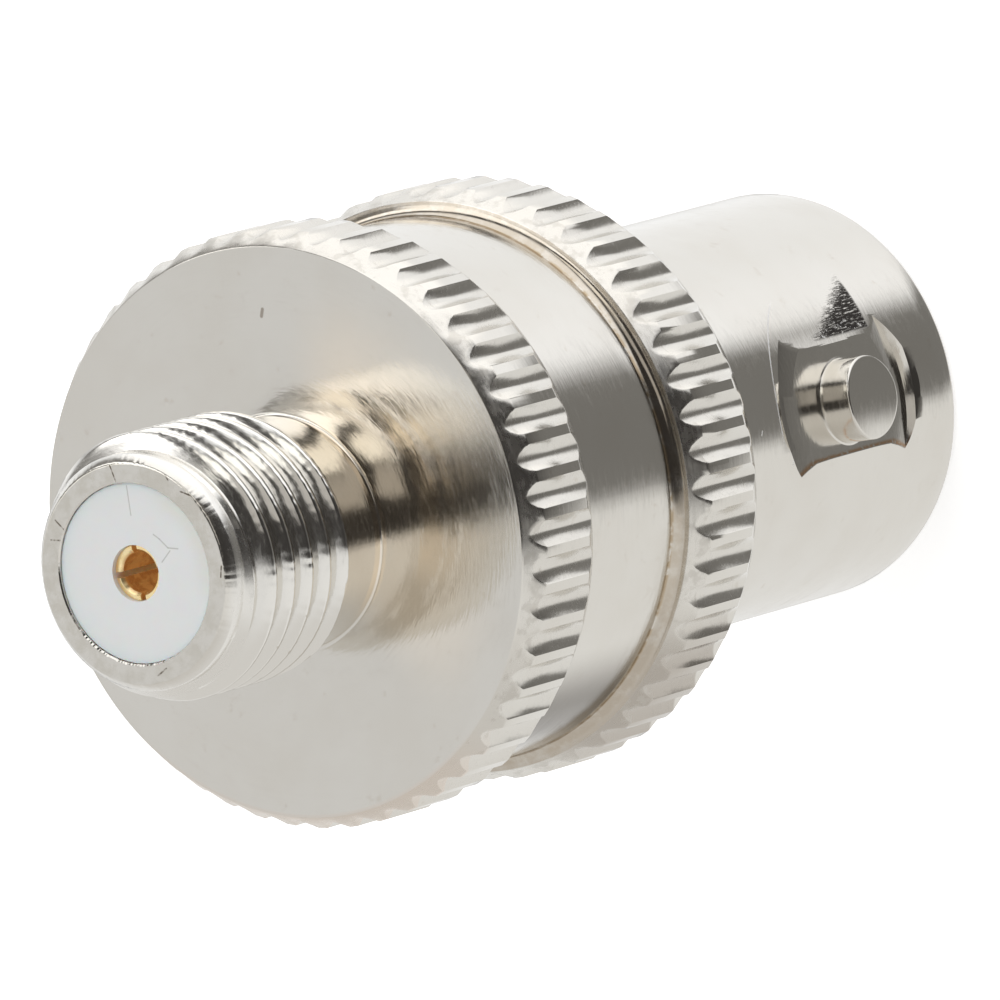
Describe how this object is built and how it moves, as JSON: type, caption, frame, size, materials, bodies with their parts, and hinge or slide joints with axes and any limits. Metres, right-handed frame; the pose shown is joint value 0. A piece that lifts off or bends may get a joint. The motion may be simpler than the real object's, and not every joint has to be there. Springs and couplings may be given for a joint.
{
  "type": "coax adapter",
  "caption": "Straight coaxial adapter: externally threaded miniature jack on one end, bayonet jack with two studs on the other, knurled grip rings between.",
  "frame": {"origin": "centre of the bayonet jack's mouth face, where the part stands on a table", "axes": "+Z along the axis from the bayonet mouth to the threaded end; +X through one bayonet stud"},
  "size_m": [0.0138, 0.0138, 0.0264],
  "materials": {
    "nickel": "bright nickel plate",
    "white_insulator": "machined, slightly waxy",
    "gold": "gold plate"
  },
  "bodies": {
    "root": {"body": "nickel", "upper_insulator": "white_insulator", "lower_insulator": "white_insulator", "retaining_bush": "nickel", "center_contact": "gold"}
  },
  "joints": []
}
